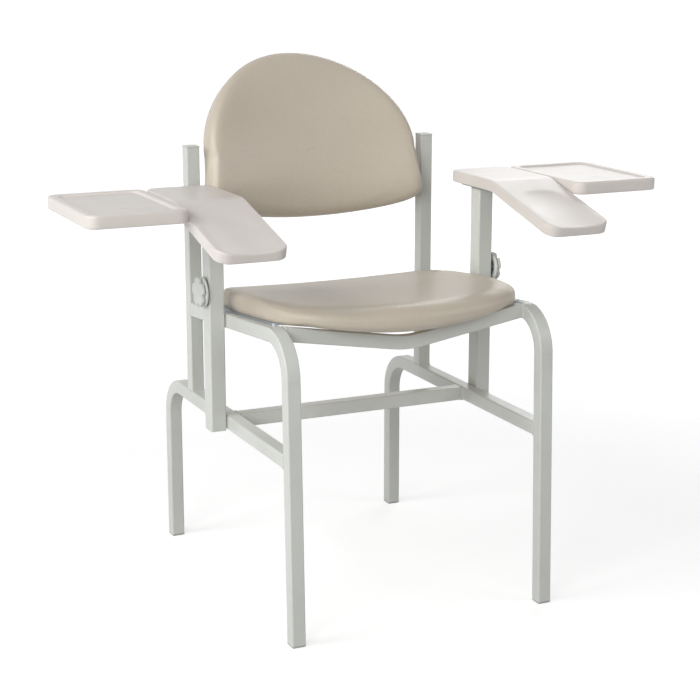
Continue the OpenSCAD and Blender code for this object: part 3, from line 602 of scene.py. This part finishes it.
def weld_loops():
    """Loops of the welds on the right side, by the body they ride on."""
    f = FRAME
    half, low = f["tube"] / 2, f["low_rail"] - f["tube"] / 2
    tube = rounded_ring(half, half, f["tube_r"])
    bar = rounded_ring(f["bar_d"] / 2, half, f["tube_r"])
    side = f["side"]
    x, y, z = (1, 0, 0), (0, 1, 0), (0, 0, 1)
    back = (0, math.cos(RAIL_FALL), -math.sin(RAIL_FALL))
    up = (0, math.sin(RAIL_FALL), math.cos(RAIL_FALL))
    rail_end = RAIL_H - (f["upright"] - half - FRONT_Y) * math.tan(RAIL_FALL) - half
    welds = [
        (tube, (side, f["leg_rear"], low), x, z),
        (tube, (side - half, ARM["post_y"], low), y, z),
        (tube, (side, f["upright"], f["low_rail"]), x, y),
        (tube, (side, f["upright"] - half, rail_end), x, z),
    ]
    for at in (f["front_bar"], f["rear_bar"]):
        spot = in_row_frame(*np.array([[side - half], [at], [-half]]))[0]
        welds.append((bar, spot, back, up))
    post = rounded_ring(f["post_w"] / 2, f["post_d"] / 2, f["tube_r"])
    return welds, [(post, (ARM["post_x"], ARM["post_y"], f["plate_low"]), x, y)]


def make_welds(paint):
    fixed, moving = weld_loops()
    for side in ("right", "left"):
        for name, body, welds in ((f"{side}_frame_welds", "base", fixed),
                                  (f"{side}_post_weld", f"{side}_arm", moving)):
            verts, faces = [], []
            for loop, middle, along, across in welds:
                points, quads = bead(loop, middle, along, across)
                first = len(verts)
                verts += points
                faces += [tuple(first + i for i in quad) for quad in quads]
            if side == "left":
                verts, faces = mirror_x(verts, faces)
            obj = new_object(name, verts, faces)
            obj.data.materials.append(paint)
            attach(obj, body)


# Materials

def linear(rgb):
    """Screen colour, 0 to 255, as the linear colour that shaders take."""
    out = []
    for c in rgb:
        c = c / 255
        out.append(c / 12.92 if c <= 0.04045 else ((c + 0.055) / 1.055)**2.4)
    return (*out, 1.0)


class Nodes:
    """A material's node tree with short ways to add and join nodes."""

    def __init__(self, name):
        self.material = bpy.data.materials.new(name)
        self.material.use_nodes = True
        self.tree = self.material.node_tree
        self.shader = self.tree.nodes["Principled BSDF"]
        self.coords = self.add("ShaderNodeTexCoord").outputs["Object"]

    def add(self, kind, **values):
        node = self.tree.nodes.new(kind)
        for key, value in values.items():
            if key in node.inputs:
                node.inputs[key].default_value = value
            else:
                setattr(node, key, value)
        return node

    def join(self, source, target):
        self.tree.links.new(source, target)

    def stretched(self, scale):
        node = self.add("ShaderNodeMapping")
        node.inputs["Scale"].default_value = scale
        self.join(self.coords, node.inputs["Vector"])
        return node.outputs["Vector"]

    def noise(self, scale, detail=3.0, rough=0.5, coords=None):
        node = self.add("ShaderNodeTexNoise")
        node.inputs["Scale"].default_value = scale
        node.inputs["Detail"].default_value = detail
        node.inputs["Roughness"].default_value = rough
        self.join(coords or self.coords, node.inputs["Vector"])
        return node.outputs["Fac"]

    def ramp(self, source, low, high, from_min=0.3, from_max=0.7):
        """Colour between two tones, led by a pattern."""
        node = self.add("ShaderNodeValToRGB")
        node.color_ramp.elements[0].position = from_min
        node.color_ramp.elements[0].color = low
        node.color_ramp.elements[1].position = from_max
        node.color_ramp.elements[1].color = high
        self.join(source, node.inputs["Fac"])
        return node.outputs["Color"]

    def spread(self, source, low, high, from_min=0.3, from_max=0.7):
        """Number between low and high, led by a pattern."""
        node = self.add("ShaderNodeMapRange")
        node.inputs["From Min"].default_value = from_min
        node.inputs["From Max"].default_value = from_max
        node.inputs["To Min"].default_value = low
        node.inputs["To Max"].default_value = high
        self.join(source, node.inputs["Value"])
        return node.outputs["Result"]

    def multiplied(self, first, second):
        node = self.add("ShaderNodeMix", data_type="RGBA", blend_type="MULTIPLY")
        node.inputs["Factor"].default_value = 1.0
        self.join(first, node.inputs["A"])
        self.join(second, node.inputs["B"])
        return node.outputs["Result"]

    def dial(self, values):
        """Sets sockets of the shader by their names."""
        for name, value in values.items():
            self.shader.inputs[name].default_value = value

    def bump(self, heights):
        """Chain of bumps from height patterns, each with its strength and distance in metres."""
        last = None
        for source, strength, distance in heights:
            node = self.add("ShaderNodeBump")
            node.inputs["Strength"].default_value = strength
            node.inputs["Distance"].default_value = distance
            self.join(source, node.inputs["Height"])
            if last is not None:
                self.join(last, node.inputs["Normal"])
            last = node.outputs["Normal"]
        self.join(last, self.shader.inputs["Normal"])


def tint(rgb, share):
    return linear([min(255, c * share) for c in rgb])


# Roughness stays above 0.28 where a pattern leads it, because the denoiser treats smoother
# surfaces in another way and leaves patches where the two meet.

def powder_coat(name, rgb):
    """Painted steel: faint changes of tone and a fine orange peel."""
    m = Nodes(name)
    tone = m.ramp(m.noise(7.0, detail=4), tint(rgb, 0.975), tint(rgb, 1.02))
    m.join(tone, m.shader.inputs["Base Color"])
    m.join(m.spread(m.noise(35.0), 0.30, 0.40), m.shader.inputs["Roughness"])
    m.dial({"Specular IOR Level": 0.5, "Coat Weight": 0.15, "Coat Roughness": 0.15})
    m.bump([(m.noise(420.0, detail=2), 0.08, 0.0002), (m.noise(1600.0, detail=1), 0.05, 0.00006)])
    return m.material


def soft_vinyl(name, rgb):
    """Upholstery vinyl: fine pores over a calm tone, with a soft gloss."""
    m = Nodes(name)
    grain = m.add("ShaderNodeTexVoronoi", feature="DISTANCE_TO_EDGE")
    grain.inputs["Scale"].default_value = 620.0
    m.join(m.coords, grain.inputs["Vector"])
    tone = m.ramp(m.noise(9.0, detail=4), tint(rgb, 0.99), tint(rgb, 1.01))
    pores = m.ramp(grain.outputs["Distance"], tint((255, 255, 255), 0.93), (1, 1, 1, 1), 0.0, 0.12)
    m.join(m.multiplied(tone, pores), m.shader.inputs["Base Color"])
    m.join(m.spread(m.noise(60.0, detail=4), 0.36, 0.42), m.shader.inputs["Roughness"])
    m.dial({"Specular IOR Level": 0.35, "Coat Weight": 0.12, "Coat Roughness": 0.24})
    m.bump([(grain.outputs["Distance"], 0.08, 0.0001)])
    return m.material


def moulded(name, rgb, rough):
    """Moulded plastic, nearly smooth."""
    m = Nodes(name)
    tone = m.ramp(m.noise(11.0), tint(rgb, 0.985), tint(rgb, 1.012))
    m.join(tone, m.shader.inputs["Base Color"])
    m.join(m.spread(m.noise(48.0), rough - 0.03, rough + 0.03), m.shader.inputs["Roughness"])
    m.dial({"Specular IOR Level": 0.5})
    m.bump([(m.noise(9.0, detail=1), 0.02, 0.0008)])
    return m.material


def bright_metal(name, rgb):
    """Zinc-plated steel with fine drawn lines."""
    m = Nodes(name)
    lines = m.noise(220.0, coords=m.stretched((1.0, 1.0, 9.0)))
    m.join(m.ramp(lines, tint(rgb, 0.93), tint(rgb, 1.03)), m.shader.inputs["Base Color"])
    m.join(m.spread(lines, 0.29, 0.38), m.shader.inputs["Roughness"])
    m.dial({"Metallic": 1.0})
    m.bump([(lines, 0.08, 0.0003)])
    return m.material


def birch(name, rgb):
    """Birch plywood: fibres across the board, plies along its edges."""
    m = Nodes(name)
    fibres = m.noise(30.0, detail=6, rough=0.65, coords=m.stretched((1.0, 14.0, 14.0)))
    plies = m.add("ShaderNodeTexWave", bands_direction="Z")
    plies.inputs["Scale"].default_value = 210.0
    plies.inputs["Distortion"].default_value = 0.6
    m.join(m.coords, plies.inputs["Vector"])
    tone = m.ramp(fibres, tint(rgb, 0.80), tint(rgb, 1.08), 0.35, 0.68)
    bands = m.ramp(plies.outputs["Fac"], tint((255, 255, 255), 0.9), (1, 1, 1, 1))
    m.join(m.multiplied(tone, bands), m.shader.inputs["Base Color"])
    m.join(m.spread(fibres, 0.50, 0.68), m.shader.inputs["Roughness"])
    m.bump([(fibres, 0.2, 0.0006)])
    return m.material


def make_materials():
    return {
        "frame_paint": powder_coat("frame_paint", (212, 214, 208)),
        "vinyl": soft_vinyl("vinyl", (209, 198, 181)),
        "arm_plastic": moulded("arm_plastic", (225, 218, 212), 0.33),
        "grey_plastic": moulded("grey_plastic", (176, 178, 172), 0.5),
        "knob_plastic": moulded("knob_plastic", (214, 217, 212), 0.34),
        "bright_steel": bright_metal("bright_steel", (170, 177, 185)),
        "plywood": birch("plywood", (206, 176, 132)),
    }


# Softened edges of the CAD nodes: widths and the weld's reach in millimetres, angles in degrees
EDGE_ANGLE = 40
FLAT_ANGLE = 0.8
WELD_REACH = 0.01
COMMON_EDGE = 0.45
EDGE = {"upright_caps": 0.9, "left_arm_plate": 0.6, "right_arm_plate": 0.6,
        "back_strap": 0.7, "left_seat_strap": 0.6, "right_seat_strap": 0.6,
        "left_arm_sleeve": 0.4, "right_arm_sleeve": 0.4}


def dress_nodes(materials):
    """Gives every CAD node its finish and softens its sharp edges."""
    slots = {p["node"]: p["material_slot"] for p in frame["record"]["subparts"]}
    for name, obj in NODES.items():
        obj.data.materials.clear()
        obj.data.materials.append(materials[slots[name]])
        if obj.hide_render:
            continue
        weld = obj.modifiers.new("joined", "WELD")
        weld.merge_threshold = WELD_REACH * MM
        flat = obj.modifiers.new("flat", "DECIMATE")
        flat.decimate_type = "DISSOLVE"
        flat.angle_limit = math.radians(FLAT_ANGLE)
        bevel = obj.modifiers.new("edges", "BEVEL")
        bevel.width = EDGE.get(name, COMMON_EDGE) * MM
        bevel.segments = 2
        bevel.limit_method = "ANGLE"
        bevel.angle_limit = math.radians(EDGE_ANGLE)
        normals = obj.modifiers.new("shading", "WEIGHTED_NORMAL")
        normals.keep_sharp = True
        obj.data.polygons.foreach_set("use_smooth", [True] * len(obj.data.polygons))


# Scene

CAMERA_AT = (-1.1317, -2.4656, 1.0252)
CAMERA_TURN = 24.68
CAMERA_DOWN = 13.60
CAMERA_LENS = 88.95


def make_camera():
    data = bpy.data.cameras.new("camera")
    data.sensor_width = 36.0
    data.sensor_fit = "HORIZONTAL"
    data.lens = CAMERA_LENS
    camera = bpy.data.objects.new("camera", data)
    camera.location = CAMERA_AT
    camera.rotation_euler = (math.radians(90 - CAMERA_DOWN), 0, math.radians(-CAMERA_TURN))
    bpy.context.scene.collection.objects.link(camera)
    bpy.context.scene.camera = camera


def area_light(name, at, aim, power):
    data = bpy.data.lights.new(name, "AREA")
    data.shape = "SQUARE"
    data.size = LAMP_SIDE
    data.energy = power
    light = bpy.data.objects.new(name, data)
    light.location = at
    light.rotation_euler = (Vector(aim) - Vector(at)).to_track_quat("-Z", "Y").to_euler()
    bpy.context.scene.collection.objects.link(light)


def seen_ray(tree):
    """1 for the rays of the camera, of reflections and of transmission, otherwise 0."""
    path = tree.nodes.new("ShaderNodeLightPath")
    total = None
    for name in ("Is Camera Ray", "Is Glossy Ray", "Is Transmission Ray"):
        if total is None:
            total = path.outputs[name]
            continue
        node = tree.nodes.new("ShaderNodeMath")
        node.operation = "MAXIMUM"
        tree.links.new(total, node.inputs[0])
        tree.links.new(path.outputs[name], node.inputs[1])
        total = node.outputs[0]
    return total


AMBIENT = 0.05
AMBIENT_TINT = (0.97, 0.98, 1.0, 1)


def make_world():
    world = bpy.data.worlds.new("studio")
    bpy.context.scene.world = world
    world.use_nodes = True
    tree = world.node_tree
    tree.nodes.clear()
    light = tree.nodes.new("ShaderNodeBackground")
    light.inputs["Color"].default_value = AMBIENT_TINT
    light.inputs["Strength"].default_value = AMBIENT
    seen = tree.nodes.new("ShaderNodeBackground")
    seen.inputs["Color"].default_value = (1, 1, 1, 1)
    seen.inputs["Strength"].default_value = 1.0
    mix = tree.nodes.new("ShaderNodeMixShader")
    out = tree.nodes.new("ShaderNodeOutputWorld")
    tree.links.new(seen_ray(tree), mix.inputs["Fac"])
    tree.links.new(light.outputs[0], mix.inputs[1])
    tree.links.new(seen.outputs[0], mix.inputs[2])
    tree.links.new(mix.outputs[0], out.inputs["Surface"])


# Floor, in metres: half its side, its grey, and where its own light grows from near to far
FLOOR = dict(half=30.0, grey=(0.55, 0.55, 0.55, 1), near=0.8, far=3.2, near_light=0.66, far_light=1.02)


def make_floor():
    """Pale floor that shows the shadows near the chair and turns white further away."""
    f = FLOOR
    half = f["half"]
    mesh = bpy.data.meshes.new("floor")
    mesh.from_pydata([(-half, -half, 0), (half, -half, 0), (half, half, 0), (-half, half, 0)],
                     [], [(0, 1, 2, 3)])
    floor = bpy.data.objects.new("floor", mesh)
    bpy.context.scene.collection.objects.link(floor)
    m = Nodes("floor")
    m.dial({"Base Color": f["grey"], "Roughness": 0.9, "Specular IOR Level": 0.0})
    far = m.add("ShaderNodeVectorMath", operation="LENGTH")
    m.join(m.coords, far.inputs[0])
    lift = m.add("ShaderNodeEmission")
    light = m.spread(far.outputs["Value"], f["near_light"], f["far_light"], f["near"], f["far"])
    m.join(light, lift.inputs["Strength"])
    none = m.add("ShaderNodeEmission", Strength=0.0)
    pick = m.add("ShaderNodeMixShader")
    both = m.add("ShaderNodeAddShader")
    m.join(seen_ray(m.tree), pick.inputs["Fac"])
    m.join(none.outputs[0], pick.inputs[1])
    m.join(lift.outputs[0], pick.inputs[2])
    m.join(m.shader.outputs[0], both.inputs[0])
    m.join(pick.outputs[0], both.inputs[1])
    m.join(both.outputs[0], m.tree.nodes["Material Output"].inputs["Surface"])
    mesh.materials.append(m.material)


# Lamps round the chair: azimuth from its front towards its right and elevation in degrees,
# power in watts
LAMPS = [
    ("left", -90, 33, 62),
    ("low_left", -90, 12, 18),
    ("front_left", -48, 18, 73),
    ("front", 0, 15, 11),
    ("front_right", 50, 22, 29),
    ("rear_right", 135, 27, 31),
    ("top", 0, 88, 10),
]
LAMP_DISTANCE = 4.0
LAMP_SIDE = 2.0
LAMP_AIM = 0.5


def make_lights():
    for name, azimuth, elevation, power in LAMPS:
        a, e = math.radians(azimuth), math.radians(elevation)
        at = (LAMP_DISTANCE * math.cos(e) * math.sin(a), -LAMP_DISTANCE * math.cos(e) * math.cos(a),
              LAMP_AIM + LAMP_DISTANCE * math.sin(e))
        area_light(name, at, (0, 0, LAMP_AIM), power)


make_camera()
make_world()
make_floor()
make_lights()
MATERIALS = make_materials()
make_cushions(MATERIALS["vinyl"])
make_arms(MATERIALS["arm_plastic"])
make_knobs(MATERIALS["knob_plastic"])
make_welds(MATERIALS["frame_paint"])
dress_nodes(MATERIALS)
bpy.context.scene.view_settings.view_transform = "Standard"
